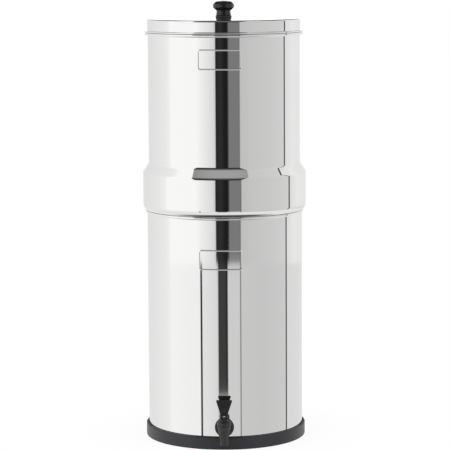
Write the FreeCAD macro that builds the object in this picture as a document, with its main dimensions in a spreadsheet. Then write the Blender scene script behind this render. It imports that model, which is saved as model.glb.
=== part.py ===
"""Gravity water filter with tap: two stacked stainless chambers, a lid with a knob, four filter
candles, four blanking plugs, a rubber base ring and a self-closing lever tap.

Frame: millimetres, +Z up, origin on the floor under the chambers' axis, tap towards -Y.
"""
import FreeCAD, Part
import math
import os
import Sketcher

# Driving dimensions, in millimetres unless the name says otherwise.
SIZES = {
    # rubber base ring
    "ring_lip": 4.4,
    "ring_height": 22.0,
    "ring_ledge": 5.0,
    "ring_shelf": 17.3,
    "ring_clearance": 0.3,
    "ring_edge": 1.2,
    # stainless sheet, the same in both chambers and the lid
    "sheet": 0.8,
    # lower chamber, whose radius all the others are taken from
    "lower_radius": 135.3,
    "lower_height": 395.0,
    "lower_corner": 8.0,
    "foot_rim": 29.3,
    "dish_rise": 3.0,
    "dish_slope": 4.0,
    "lower_bead_width": 3.5,
    "lower_bead_height": 4.6,
    "bead_round": 1.2,
    # upper chamber
    "upper_height": 308.0,
    "upper_bead_width": 5.8,
    "upper_bead_height": 4.8,
    "collar_step": 6.9,
    "collar_corner": 14.0,
    "collar_rise": 4.7,
    "shoulder_step": 10.2,
    "shoulder_foot": 65.4,
    "shoulder_length": 16.3,
    "shoulder_round": 10.0,
    "seat_width": 3.4,
    "seat_clearance": 0.3,
    "spigot_depth": 16.0,
    "spigot_clearance": 0.5,
    "spigot_corner": 6.0,
    # filter holes in the upper chamber's floor
    "hole_count": 8.0,
    "hole_margin": 57.0,
    "hole_radius": 6.5,
    # lid
    "lid_step": 0.8,
    "lid_height": 24.2,
    "lid_crown": 1.4,
    "lid_round": 3.0,
    "lid_boss_radius": 20.0,
    "lid_rib_width": 4.8,
    "lid_rib_height": 2.6,
    "lid_rib_round": 0.9,
    "lid_skirt_depth": 12.0,
    "lid_clearance": 0.5,
    # lid knob and its fixing
    "knob_foot_radius": 12.9,
    "knob_foot_height": 3.8,
    "knob_neck_radius": 12.3,
    "knob_neck_height": 8.4,
    "knob_radius": 18.4,
    "knob_under_height": 13.6,
    "knob_over_height": 19.4,
    "knob_crown_radius": 13.0,
    "knob_crown_height": 23.8,
    "knob_height": 25.7,
    "knob_edge": 2.2,
    "knob_round": 0.8,
    "knob_washer_radius": 13.8,
    "knob_washer_height": 4.0,
    "screw_radius": 2.0,
    "screw_length": 18.0,
    "screw_head_radius": 4.5,
    "screw_head_height": 2.6,
    "screw_socket_flats": 3.0,
    "screw_socket_depth": 1.4,
    "screw_clearance": 0.1,
    "screw_hole_radius": 2.75,
    "screw_washer_radius": 7.5,
    "screw_washer_height": 1.0,
    # filter candles
    "seal_radius": 13.0,
    "seal_height": 2.0,
    "stem_radius": 5.0,
    "stem_length": 32.0,
    "stem_bore": 2.2,
    "stem_edge": 0.8,
    "hub_radius": 12.0,
    "hub_height": 3.0,
    "cup_radius": 31.0,
    "cup_floor": 3.0,
    "cup_side": 1.3,
    "cup_lip": 7.0,
    "candle_clearance": 0.2,
    "candle_height": 222.0,
    "candle_round": 6.0,
    "candle_bore": 9.0,
    "candle_top": 14.0,
    # wing nuts
    "nut_clearance": 0.1,
    "nut_flange_radius": 9.5,
    "nut_flange_height": 2.5,
    "nut_hub_radius": 8.0,
    "nut_height": 12.0,
    "wing_span": 38.0,
    "wing_thick": 3.6,
    "wing_drop": 4.0,
    "wing_height": 13.0,
    "wing_round": 3.0,
    # blanking plugs
    "plug_flange_radius": 11.0,
    "plug_flange_height": 3.5,
    "plug_clearance": 0.2,
    "plug_barb_radius": 8.0,
    "plug_tip_radius": 4.6,
    "plug_drop": 10.0,
    # tap
    "tap_gap": 0.6,
    "tap_reach": 27.0,
    "tap_hole_clearance": 0.3,
    "shank_radius": 7.8,
    "shank_length": 26.0,
    "shank_bore": 4.4,
    "thread_clearance": 0.1,
    "washer_margin": 1.0,
    "washer_height": 3.0,
    "saddle": 1.2,
    "flange_radius": 15.4,
    "flange_height": 3.0,
    "arm_radius": 8.2,
    "spout_drop": 25.3,
    "spout_radius": 7.4,
    "spout_bore": 4.6,
    "throat_drop": 8.0,
    "throat_radius": 8.8,
    "bowl_rise": 4.5,
    "bowl_radius": 11.0,
    "bowl_height": 8.5,
    "bowl_lip_radius": 11.8,
    "neck_radius": 10.0,
    "neck_height": 5.0,
    "valve_drop": 8.0,
    "valve_radius": 6.8,
    "valve_height": 3.0,
    "chamber_radius": 8.6,
    "chamber_rise": 4.0,
    "inner_washer_radius": 14.0,
    "inner_washer_height": 2.0,
    "lock_nut_flats": 27.0,
    "lock_nut_height": 7.0,
    # tap bonnet
    "bonnet_radius": 11.9,
    "bonnet_gap": 0.2,
    "bonnet_skirt": 5.8,
    "bonnet_neck_radius": 6.8,
    "bonnet_slope": 10.2,
    "bonnet_height": 12.0,
    "bonnet_roof": 8.4,
    "bonnet_roof_radius": 4.6,
    # tap stem, pin and seat cup
    "rod_radius": 1.7,
    "guide_clearance": 0.3,
    "rod_socket": 4.0,
    "eye_radius": 3.2,
    "eye_thick": 4.0,
    "pin_radius": 1.25,
    "pin_clearance": 0.05,
    "cup_gap": 0.1,
    "cup_foot_clearance": 1.3,
    "cup_bell_clearance": 0.5,
    "cup_height": 8.0,
    "cup_skin": 1.2,
    # lever
    "cam_radius": 4.2,
    "cam_offset": 3.2,
    "cam_clearance": 0.3,
    "heel_radius": 3.8,
    "foot_width": 11.8,
    "foot_height": 2.8,
    "lever_width": 26.6,
    "lever_length": 25.0,
    "lever_lean": 10.0,
    "waist_height": 13.0,
    "waist_lean": 3.0,
    "waist": 4.4,
    "tip_back": 3.0,
    "tip_front": 5.0,
    "tip_edge": 1.6,
    "slot_clearance": 0.25,
    "slot_rise": 3.7,
    # pressed name-plate frames, left bare
    "plate_shift": 5.1,
    "plate_width": 75.0,
    "plate_height": 34.0,
    "plate_line": 1.6,
    "plate_relief": 0.5,
    "plate_corner": 3.0,
    "lower_plate_drop": 73.0,
    "upper_plate_drop": 42.5,
}

doc = FreeCAD.newDocument("gravity_water_filter")
book = doc.addObject("Spreadsheet::Sheet", "Sizes")
for line, (alias, number) in enumerate(SIZES.items(), start=1):
    book.set(f"A{line}", alias)
    book.set(f"B{line}", str(number))
    book.setAlias(f"B{line}", alias)
doc.recompute()


class Size:
    """A length that knows its value in millimetres and its expression on the sheet."""

    def __init__(self, value, text):
        self.value = value
        self.text = text

    @staticmethod
    def of(thing):
        return thing if isinstance(thing, Size) else Size(float(thing), repr(float(thing)))

    def joined(self, other, sign, value):
        return Size(value, f"({self.text} {sign} {other.text})")

    def __add__(self, other):
        other = Size.of(other)
        return self.joined(other, "+", self.value + other.value)

    def __sub__(self, other):
        other = Size.of(other)
        return self.joined(other, "-", self.value - other.value)

    def __mul__(self, other):
        other = Size.of(other)
        return self.joined(other, "*", self.value * other.value)

    def __truediv__(self, other):
        other = Size.of(other)
        return self.joined(other, "/", self.value / other.value)

    def __neg__(self):
        return Size(-self.value, f"(0 - {self.text})")

    __radd__ = __add__

    def __rsub__(self, other):
        return Size.of(other) - self

    __rmul__ = __mul__


def size(alias):
    """The sheet's cell of that alias."""
    return Size(SIZES[alias], f"Sizes.{alias}")


def smaller(one, other):
    """The smaller of two lengths, for a rounding that its wall may limit."""
    return Size(min(one.value, other.value), f"min({one.text}; {other.text})")


ZERO = Size.of(0)
PARTS = []


def keep(thing, label):
    """Marks a finished piece, whose label names its file."""
    thing.Label = label
    PARTS.append(thing)
    return thing


def bind(thing, **lengths):
    """Ties properties to expressions on the sheet."""
    for name, length in lengths.items():
        thing.setExpression(name, Size.of(length).text)
    return thing


def move(thing, x=ZERO, y=ZERO, z=ZERO, turn=None):
    """Places a piece by expressions on the sheet, turned first by (axis, degrees)."""
    if turn:
        axis, degrees = turn
        thing.Placement = FreeCAD.Placement(FreeCAD.Vector(), FreeCAD.Rotation(axis, degrees))
    for name, length in (("x", x), ("y", y), ("z", z)):
        thing.setExpression(f"Placement.Base.{name}", Size.of(length).text)
    return thing


X_AXIS = FreeCAD.Vector(1, 0, 0)
Y_AXIS = FreeCAD.Vector(0, 1, 0)
Z_AXIS = FreeCAD.Vector(0, 0, 1)


# Sketches

def origin_feature(body, role):
    return next(f for f in body.Origin.OriginFeatures if f.Role == role)


def new_body(name):
    return doc.addObject("PartDesign::Body", name)


def new_sketch(body, plane):
    sketch = body.newObject("Sketcher::SketchObject", f"{body.Name}_{plane[:2]}")
    sketch.AttachmentSupport = (origin_feature(body, plane), [""])
    sketch.MapMode = "FlatFace"
    return sketch


def tie(sketch, kind, geometry, point, length):
    """Fixes one coordinate of a point by a dimension bound to the sheet."""
    length = Size.of(length)
    axis = -2 if kind == "DistanceX" else -1
    if length.text == ZERO.text:
        sketch.addConstraint(Sketcher.Constraint("PointOnObject", geometry, point, axis))
        return
    index = sketch.addConstraint(
        Sketcher.Constraint(kind, -1, 1, geometry, point, length.value)
    )
    sketch.setExpression(f"Constraints[{index}]", length.text)


def outline(sketch, corners):
    """Draws a closed outline through corners (across, up, rounding), each corner tied to the sheet.

    A rounding is an arc tangent to both sides, and its sharp corner stays as a construction point.
    """
    points = [
        FreeCAD.Vector(Size.of(c[0]).value, Size.of(c[1]).value, 0) for c in corners
    ]
    count = len(points)
    ends = []
    arcs = {}
    for i, here in enumerate(points):
        before = (points[i - 1] - here).normalize()
        after = (points[(i + 1) % count] - here).normalize()
        if len(corners[i]) < 3:
            ends.append((here, here))
            continue
        radius = Size.of(corners[i][2]).value
        half = before.getAngle(after) / 2
        reach = radius / math.tan(half)
        start = here + before * reach
        end = here + after * reach
        centre = here + (before + after).normalize() * (radius / math.sin(half))
        ends.append((start, end))
        left_turn = before.cross(after).z < 0
        arcs[i] = (centre, radius, start, end, left_turn)
    lines = [
        sketch.addGeometry(
            Part.LineSegment(ends[i][1], ends[(i + 1) % count][0]), False
        )
        for i in range(count)
    ]
    for i, corner in enumerate(corners):
        before_line = lines[i - 1]
        after_line = lines[i]
        if i not in arcs:
            sketch.addConstraint(
                Sketcher.Constraint("Coincident", before_line, 2, after_line, 1)
            )
            tie(sketch, "DistanceX", after_line, 1, corner[0])
            tie(sketch, "DistanceY", after_line, 1, corner[1])
            continue
        centre, radius, start, end, left_turn = arcs[i]
        first, last = (start, end) if left_turn else (end, start)
        circle = Part.Circle(centre, Z_AXIS, radius)
        angles = [
            math.atan2(p.y - centre.y, p.x - centre.x) for p in (first, last)
        ]
        arc = sketch.addGeometry(Part.ArcOfCircle(circle, *angles), False)
        enter, leave = (1, 2) if left_turn else (2, 1)
        peak = sketch.addGeometry(Part.Point(points[i]), True)
        tie(sketch, "DistanceX", peak, 1, corner[0])
        tie(sketch, "DistanceY", peak, 1, corner[1])
        for constraint in (
            ("Tangent", before_line, 2, arc, enter),
            ("Tangent", arc, leave, after_line, 1),
            ("PointOnObject", peak, 1, before_line),
            ("PointOnObject", peak, 1, after_line),
        ):
            sketch.addConstraint(Sketcher.Constraint(*constraint))
        index = sketch.addConstraint(Sketcher.Constraint("Radius", arc, radius))
        sketch.setExpression(f"Constraints[{index}]", Size.of(corner[2]).text)


def circle(sketch, across, up, radius):
    """Draws a circle whose centre and radius are tied to the sheet."""
    across, up, radius = Size.of(across), Size.of(up), Size.of(radius)
    ring = sketch.addGeometry(
        Part.Circle(FreeCAD.Vector(across.value, up.value, 0), Z_AXIS, radius.value), False
    )
    tie(sketch, "DistanceX", ring, 3, across)
    tie(sketch, "DistanceY", ring, 3, up)
    index = sketch.addConstraint(Sketcher.Constraint("Radius", ring, radius.value))
    sketch.setExpression(f"Constraints[{index}]", radius.text)


def turned(name, corners):
    """A body turned about its own Z axis from a half section of corners (radius, height)."""
    body = new_body(name)
    sketch = new_sketch(body, "XZ_Plane")
    outline(sketch, corners)
    turn = body.newObject("PartDesign::Revolution", f"{name}_turn")
    turn.Profile = sketch
    turn.ReferenceAxis = (sketch, ["V_Axis"])
    turn.Angle = 360.0
    doc.recompute()
    return body


def pierce(body, plane, across, up, radius):
    """Cuts a round hole from the middle plane outwards, and checks that it did cut."""
    before = body.Shape.Volume
    sketch = new_sketch(body, plane)
    circle(sketch, across, up, radius)
    cut = body.newObject("PartDesign::Pocket", f"{body.Name}_hole")
    cut.Profile = sketch
    cut.Type = 1
    cut.Reversed = True
    doc.recompute()
    if body.Shape.Volume >= before:
        raise RuntimeError(f"{body.Name}: the hole cut nothing")
    return cut


def cylinder(name, radius, height):
    thing = doc.addObject("Part::Cylinder", name)
    return bind(thing, Radius=radius, Height=height)


def cut(name, base, tool):
    thing = doc.addObject("Part::Cut", name)
    thing.Base = base
    thing.Tool = tool
    return thing


def common(name, *things):
    thing = doc.addObject("Part::MultiCommon", name)
    thing.Shapes = list(things)
    return thing


def fused(name, *things):
    thing = doc.addObject("Part::MultiFuse", name)
    thing.Shapes = list(things)
    thing.Refine = True
    return thing


def washer(name, radius, bore, height):
    """A flat washer standing on its own XY plane."""
    return cut(
        name,
        cylinder(f"{name}_disc", radius, height),
        cylinder(f"{name}_bore", bore, height),
    )


def shell(name, corners, top):
    """A sheet vessel: the turned outer form, hollowed from its open top by the sheet's thickness."""
    body = turned(name, corners)
    form = body.Tip
    faces = form.Shape.Faces
    open_face = max(range(len(faces)), key=lambda i: faces[i].CenterOfMass.z)
    wall = body.newObject("PartDesign::Thickness", f"{name}_wall")
    wall.Base = (form, [f"Face{open_face + 1}"])
    wall.Reversed = True
    wall.setExpression("Value", size("sheet").text)
    doc.recompute()
    return body


def add_bead(body, inner, width, top, height):
    """Rolls a bead outwards round a vessel's mouth."""
    corner = size("bead_round")
    sketch = new_sketch(body, "XZ_Plane")
    outline(sketch, [
        (inner, top - height, corner),
        (inner + width, top - height, corner),
        (inner + width, top, corner),
        (inner, top),
    ])
    bead = body.newObject("PartDesign::Revolution", f"{body.Name}_bead")
    bead.Profile = sketch
    bead.ReferenceAxis = (sketch, ["V_Axis"])
    bead.Angle = 360.0
    doc.recompute()


def plate_frame(name, radius, top, centre):
    """A pressed rectangular frame, raised from a wall of the given radius."""
    body = new_body(name)
    sketch = new_sketch(body, "XZ_Plane")
    line = size("plate_line")
    for inset in (ZERO, line):
        half_width = size("plate_width") / 2 - inset
        half_height = size("plate_height") / 2 - inset
        corner = size("plate_corner") - inset
        across = ZERO - size("plate_shift")
        outline(sketch, [
            (across - half_width, centre - half_height, corner),
            (across + half_width, centre - half_height, corner),
            (across + half_width, centre + half_height, corner),
            (across - half_width, centre + half_height, corner),
        ])
    pad = body.newObject("PartDesign::Pad", f"{name}_pad")
    pad.Profile = sketch
    pad.setExpression("Length", (radius * 2).text)
    doc.recompute()
    skin = cut(
        f"{name}_skin",
        cylinder(f"{name}_outside", radius + size("plate_relief"), top),
        cylinder(f"{name}_inside", radius - size("sheet") / 2, top),
    )
    return common(f"{name}_frame", body, skin)


# Base ring, which the lower chamber drops into

ring_recess = size("lower_radius") + size("ring_clearance")
ring_radius = ring_recess + size("ring_lip")
ring_bore = size("lower_radius") - size("ring_shelf")
ring = turned("base_ring_form", [
    (ring_bore, ZERO),
    (ring_radius, ZERO, size("ring_edge")),
    (ring_radius, size("ring_height"), size("ring_edge")),
    (ring_recess, size("ring_height")),
    (ring_recess, size("ring_ledge")),
    (ring_bore, size("ring_ledge")),
])
keep(ring, "base_ring")

# Lower chamber, standing on the ring's ledge, with the tap's hole just above the ring

washer_radius = size("flange_radius") + size("washer_margin")
tap_height = size("ring_height") + size("tap_gap") + washer_radius
lower_inner = size("lower_radius") - size("sheet")
dish_radius = size("lower_radius") - size("foot_rim")
lower = shell("lower_form", [
    (ZERO, size("dish_rise")),
    (dish_radius - size("dish_slope"), size("dish_rise"), size("dish_slope")),
    (dish_radius, ZERO, size("dish_slope")),
    (size("lower_radius"), ZERO, size("lower_corner")),
    (size("lower_radius"), size("lower_height")),
    (ZERO, size("lower_height")),
], size("lower_height"))
add_bead(
    lower,
    lower_inner,
    size("lower_bead_width"),
    size("lower_height"),
    size("lower_bead_height"),
)
pierce(
    lower,
    "XZ_Plane",
    ZERO,
    tap_height - size("ring_ledge"),
    size("shank_radius") + size("tap_hole_clearance"),
)
lower_frame = plate_frame(
    "lower_plate",
    size("lower_radius"),
    size("lower_height"),
    size("lower_height") - size("lower_plate_drop"),
)
lower_chamber = fused("lower_chamber_form", lower, lower_frame)
move(keep(lower_chamber, "lower_chamber"), z=size("ring_ledge"))
lower_top = size("ring_ledge") + size("lower_height")

# Upper chamber, whose spigot drops into the lower one's mouth

collar_radius = size("lower_radius") + size("collar_step")
upper_radius = collar_radius - size("shoulder_step")
spigot = lower_inner - size("spigot_clearance")
upper_seat = lower_top + size("seat_clearance")
upper_floor = upper_seat - size("spigot_depth")
depth = size("spigot_depth")
upper_top = depth + size("upper_height")
seat_edge = spigot + size("seat_width")
shoulder = depth + size("shoulder_foot")
upper = shell("upper_form", [
    (ZERO, ZERO),
    (spigot, ZERO, size("spigot_corner")),
    (spigot, depth, size("bead_round")),
    (seat_edge, depth, size("bead_round")),
    (
        collar_radius,
        depth + size("collar_rise"),
        smaller(size("collar_corner"), size("collar_rise") * 3),
    ),
    (collar_radius, shoulder, size("shoulder_round")),
    (upper_radius, shoulder + size("shoulder_length"), size("shoulder_round")),
    (upper_radius, upper_top),
    (ZERO, upper_top),
], upper_top)
upper_inner = upper_radius - size("sheet")
add_bead(upper, upper_inner, size("upper_bead_width"), upper_top, size("upper_bead_height"))
hole_circle = upper_radius - size("hole_margin")
holes = new_sketch(upper, "XY_Plane")
circle(holes, hole_circle, ZERO, size("hole_radius"))
hole = upper.newObject("PartDesign::Pocket", "upper_hole")
hole.Profile = holes
hole.Type = 1
hole.Reversed = True
doc.recompute()
pattern = upper.newObject("PartDesign::PolarPattern", "upper_holes")
pattern.Originals = [hole]
pattern.Axis = (holes, ["N_Axis"])
pattern.Angle = 360.0
pattern.setExpression("Occurrences", size("hole_count").text)
upper.Tip = pattern
doc.recompute()
upper_frame = plate_frame(
    "upper_plate", upper_radius, upper_top, upper_top - size("upper_plate_drop")
)
upper_chamber = fused("upper_chamber_form", upper, upper_frame)
move(keep(upper_chamber, "upper_chamber"), z=upper_floor)

# Lid, a pressed pan with a folded rib and a skirt into the mouth

lid_seat = upper_floor + upper_top + size("seat_clearance")
sheet = size("sheet")
skirt = upper_inner - size("lid_clearance")
lid_edge = size("lid_height") - size("lid_crown")
lid_radius = upper_radius + size("lid_step")
rib_radius = lid_radius + size("lid_rib_width")
lid = turned("lid_form", [
    (size("screw_hole_radius"), size("lid_height")),
    (size("screw_hole_radius"), size("lid_height") - sheet),
    (size("lid_boss_radius"), size("lid_height") - sheet),
    (lid_radius - sheet, lid_edge - sheet, size("lid_round") - sheet),
    (lid_radius - sheet, size("lid_rib_height")),
    (skirt - sheet, size("lid_rib_height")),
    (skirt - sheet, -size("lid_skirt_depth")),
    (skirt, -size("lid_skirt_depth")),
    (skirt, ZERO),
    (rib_radius, ZERO, size("lid_rib_round")),
    (rib_radius, size("lid_rib_height"), size("lid_rib_round")),
    (lid_radius, size("lid_rib_height")),
    (lid_radius, lid_edge, size("lid_round")),
    (size("lid_boss_radius"), size("lid_height")),
])
move(keep(lid, "lid"), z=lid_seat)
lid_top = lid_seat + size("lid_height")

# Lid knob, washers and screw

knob_washer = washer(
    "knob_washer_form",
    size("knob_washer_radius"),
    size("screw_hole_radius"),
    size("knob_washer_height"),
)
move(keep(knob_washer, "knob_washer"), z=lid_top)

screw_bottom = -sheet - size("screw_washer_height")
screw_reach = size("screw_length") + screw_bottom - size("knob_washer_height")
knob_bore = size("screw_radius") + size("screw_clearance")
bore_end = screw_reach + size("screw_radius") / 2
knob = turned("knob_form", [
    (knob_bore, ZERO),
    (size("knob_foot_radius"), ZERO, size("ring_edge")),
    (size("knob_foot_radius"), size("knob_foot_height")),
    (size("knob_neck_radius"), size("knob_foot_height")),
    (size("knob_neck_radius"), size("knob_neck_height"), size("knob_edge")),
    (size("knob_radius"), size("knob_under_height"), size("knob_edge")),
    (size("knob_radius"), size("knob_over_height"), size("knob_edge")),
    (size("knob_crown_radius"), size("knob_crown_height"), size("knob_edge")),
    (ZERO, size("knob_height")),
    (ZERO, bore_end),
    (knob_bore, bore_end),
])
move(keep(knob, "lid_knob"), z=lid_top + size("knob_washer_height"))

screw_washer = washer(
    "screw_washer_form",
    size("screw_washer_radius"),
    size("screw_hole_radius"),
    size("screw_washer_height"),
)
move(keep(screw_washer, "knob_screw_washer"), z=lid_top + screw_bottom)

HEX_SIDES = 6
hexagon = Size(2 / math.sqrt(3), "(2 / sqrt(3))")
socket = doc.addObject("Part::Prism", "screw_socket")
socket.Polygon = HEX_SIDES
bind(
    socket,
    Circumradius=size("screw_socket_flats") / 2 * hexagon,
    Height=size("screw_socket_depth"),
)
screw_head = move(
    cylinder("screw_head", size("screw_head_radius"), size("screw_head_height")),
    z=-size("screw_head_height"),
)
move(socket, z=-size("screw_head_height"))
screw = cut(
    "screw_form",
    fused("screw_blank", screw_head, cylinder("screw_shank", size("screw_radius"), size("screw_length"))),
    socket,
)
move(keep(screw, "knob_screw"), z=lid_top + screw_bottom)

# Filter candles, each with its seal and wing nut, in every second hole


def round_place(thing, index, z):
    """Puts a piece over one of the floor's holes."""
    angle = f"(360 / Sizes.hole_count * {index})"
    turn = 2 * math.pi * index / SIZES["hole_count"]
    across = hole_circle * Size(math.cos(turn), f"cos({angle})")
    along = hole_circle * Size(math.sin(turn), f"sin({angle})")
    return move(thing, across, along, z)


floor_top = upper_floor + sheet
hub_foot = size("seal_height")
cup_foot = hub_foot + size("hub_height")
cup_inside = size("cup_radius") - size("cup_side")
candle_radius = cup_inside - size("candle_clearance")
candle_foot = cup_foot + size("cup_floor") + size("candle_clearance")


def candle_base(name):
    """The moulded cup under a candle, with its hub and hollow threaded stem."""
    cup_top = cup_foot + size("cup_floor") + size("cup_lip")
    return turned(name, [
        (size("stem_bore"), hub_foot - size("stem_length")),
        (size("stem_radius") - size("stem_edge"), hub_foot - size("stem_length")),
        (size("stem_radius"), hub_foot - size("stem_length") + size("stem_edge")),
        (size("stem_radius"), hub_foot),
        (size("hub_radius"), hub_foot),
        (size("hub_radius"), cup_foot),
        (size("cup_radius"), cup_foot, size("ring_edge")),
        (size("cup_radius"), cup_top),
        (cup_inside, cup_top),
        (cup_inside, cup_foot + size("cup_floor")),
        (size("stem_bore"), cup_foot + size("cup_floor")),
    ])


def candle(name):
    """A hollow ceramic candle, closed at its domed top."""
    height = size("candle_height")
    return turned(name, [
        (size("candle_bore"), ZERO),
        (candle_radius, ZERO),
        (candle_radius, height, size("candle_round")),
        (ZERO, height),
        (ZERO, height - size("candle_top")),
        (size("candle_bore"), height - size("candle_top"), size("candle_round")),
    ])


def wing_nut(name):
    """A moulded nut with two wings, hanging under the floor."""
    bore = size("stem_radius") + size("nut_clearance")
    hub = turned(f"{name}_hub", [
        (bore, ZERO),
        (bore, -size("nut_height")),
        (size("nut_hub_radius"), -size("nut_height"), size("ring_edge")),
        (size("nut_hub_radius"), -size("nut_flange_height")),
        (size("nut_flange_radius"), -size("nut_flange_height")),
        (size("nut_flange_radius"), ZERO),
    ])
    blade = new_body(f"{name}_blade")
    sketch = new_sketch(blade, "XZ_Plane")
    half = size("wing_span") / 2
    low = -size("wing_drop") - size("wing_height")
    outline(sketch, [
        (-half, low, size("wing_round")),
        (-size("nut_hub_radius"), -size("nut_height")),
        (size("nut_hub_radius"), -size("nut_height")),
        (half, low, size("wing_round")),
        (half, -size("wing_drop"), size("wing_round")),
        (-half, -size("wing_drop"), size("wing_round")),
    ])
    pad = blade.newObject("PartDesign::Pad", f"{name}_pad")
    pad.Profile = sketch
    pad.setExpression("Length", size("wing_thick").text)
    pad.SideType = "Symmetric"
    doc.recompute()
    passage = move(
        cylinder(f"{name}_passage", bore, size("wing_height") + size("nut_height")),
        z=low - size("wing_drop"),
    )
    return cut(name, fused(f"{name}_blank", hub, blade), passage)


def blanking_plug(name):
    """A rubber plug whose barb holds it in a spare hole."""
    neck = size("hole_radius") - size("plug_clearance")
    return turned(name, [
        (ZERO, size("plug_flange_height")),
        (ZERO, -sheet - size("plug_drop")),
        (size("plug_tip_radius"), -sheet - size("plug_drop"), size("ring_edge")),
        (size("plug_barb_radius"), -sheet),
        (neck, -sheet),
        (neck, ZERO),
        (size("plug_flange_radius"), ZERO),
        (size("plug_flange_radius"), size("plug_flange_height"), size("ring_edge")),
    ])


CANDLES = 4
for number in range(CANDLES):
    hole_index = 2 * number
    label = number + 1
    seal = washer(
        f"seal_form_{label}",
        size("seal_radius"),
        size("stem_radius") + size("nut_clearance"),
        size("seal_height"),
    )
    round_place(keep(seal, f"candle_seal_{label}"), hole_index, floor_top)
    base = candle_base(f"candle_base_form_{label}")
    round_place(keep(base, f"candle_base_{label}"), hole_index, floor_top)
    stick = candle(f"candle_form_{label}")
    round_place(keep(stick, f"filter_candle_{label}"), hole_index, floor_top + candle_foot)
    nut = wing_nut(f"wing_nut_form_{label}")
    round_place(keep(nut, f"wing_nut_{label}"), hole_index, upper_floor)
    plug = blanking_plug(f"plug_form_{label}")
    round_place(keep(plug, f"blanking_plug_{label}"), hole_index + 1, floor_top)

# Tap, along -Y through the lower chamber's wall

FORWARD = (X_AXIS, 90)
wall_out = -size("lower_radius")
wall_in = -lower_inner
flange_back = wall_out - size("washer_height")
tap_y = wall_out - size("tap_reach")


def forward(thing, y):
    """Lays a piece along the tap's own axis, towards -Y from the given place."""
    return move(thing, y=y, z=tap_height, turn=FORWARD)


outer_disc = forward(
    washer(
        "outer_washer_disc",
        washer_radius,
        size("shank_radius") + size("thread_clearance"),
        size("washer_height") + size("saddle"),
    ),
    wall_out + size("saddle"),
)
tap_band = washer_radius * 2
wall_core = move(
    cylinder("outer_washer_core", size("lower_radius"), tap_band * 2), z=tap_height - tap_band
)
keep(cut("outer_washer_form", outer_disc, wall_core), "tap_outer_washer")

inner_depth = size("inner_washer_height") + size("saddle")
inner_disc = forward(
    washer(
        "inner_washer_disc",
        size("inner_washer_radius"),
        size("shank_radius") + size("thread_clearance"),
        inner_depth,
    ),
    wall_in + inner_depth,
)
inner_core = move(
    cylinder("inner_washer_core", lower_inner, tap_band * 2), z=tap_height - tap_band
)
keep(common("inner_washer_form", inner_disc, inner_core), "tap_inner_washer")

nut_prism = doc.addObject("Part::Prism", "lock_nut_prism")
nut_prism.Polygon = HEX_SIDES
bind(
    nut_prism,
    Circumradius=size("lock_nut_flats") / 2 * hexagon,
    Height=size("lock_nut_height"),
)
nut_bore = cylinder(
    "lock_nut_bore", size("shank_radius") + size("thread_clearance"), size("lock_nut_height")
)
lock_nut = cut("lock_nut_form", nut_prism, nut_bore)
forward(keep(lock_nut, "tap_lock_nut"), wall_in + inner_depth + size("lock_nut_height"))

lip_z = size("bowl_height")
upright = turned("tap_upright", [
    (ZERO, -size("spout_drop")),
    (size("spout_radius"), -size("spout_drop"), size("knob_round")),
    (size("throat_radius"), -size("throat_drop")),
    (size("bowl_radius"), size("bowl_rise")),
    (size("bowl_lip_radius"), lip_z, size("knob_round")),
    (size("neck_radius"), lip_z),
    (size("neck_radius"), lip_z + size("neck_height")),
    (ZERO, lip_z + size("neck_height")),
])
move(upright, y=tap_y, z=tap_height)
hollow = turned("tap_hollow", [
    (ZERO, -size("spout_drop")),
    (size("spout_bore"), -size("spout_drop")),
    (size("spout_bore"), -size("valve_drop")),
    (size("valve_radius"), -size("valve_drop")),
    (size("valve_radius"), -size("valve_drop") + size("valve_height")),
    (size("chamber_radius"), size("chamber_rise")),
    (size("chamber_radius"), lip_z + size("neck_height")),
    (ZERO, lip_z + size("neck_height")),
])
move(hollow, y=tap_y, z=tap_height)
flange = forward(
    cylinder("tap_flange", size("flange_radius"), size("flange_height")), flange_back
)
arm = forward(
    cylinder("tap_arm", size("arm_radius"), size("tap_reach") - size("washer_height")),
    flange_back,
)
shank = forward(
    cylinder("tap_shank", size("shank_radius"), size("shank_length")),
    flange_back + size("shank_length"),
)
passage = forward(
    cylinder(
        "tap_passage",
        size("shank_bore"),
        size("shank_length") + size("tap_reach") - size("washer_height"),
    ),
    flange_back + size("shank_length"),
)
tap_body = cut(
    "tap_body_form",
    fused("tap_blank", upright, flange, arm, shank),
    fused("tap_waterway", hollow, passage),
)
keep(tap_body, "tap_body")

bonnet_bore = size("neck_radius") + size("thread_clearance")
bonnet = turned("bonnet_form", [
    (bonnet_bore, size("bonnet_gap")),
    (size("bonnet_radius"), size("bonnet_gap")),
    (size("bonnet_radius"), size("bonnet_skirt"), size("knob_round")),
    (size("bonnet_neck_radius"), size("bonnet_slope")),
    (size("bonnet_neck_radius"), size("bonnet_height")),
    (size("rod_radius") + size("guide_clearance"), size("bonnet_height")),
    (size("rod_radius") + size("guide_clearance"), size("bonnet_roof")),
    (size("bonnet_roof_radius"), size("bonnet_roof")),
    (bonnet_bore, size("neck_height") + size("bonnet_gap")),
])
move(keep(bonnet, "tap_bonnet"), y=tap_y, z=tap_height + lip_z)

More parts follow.
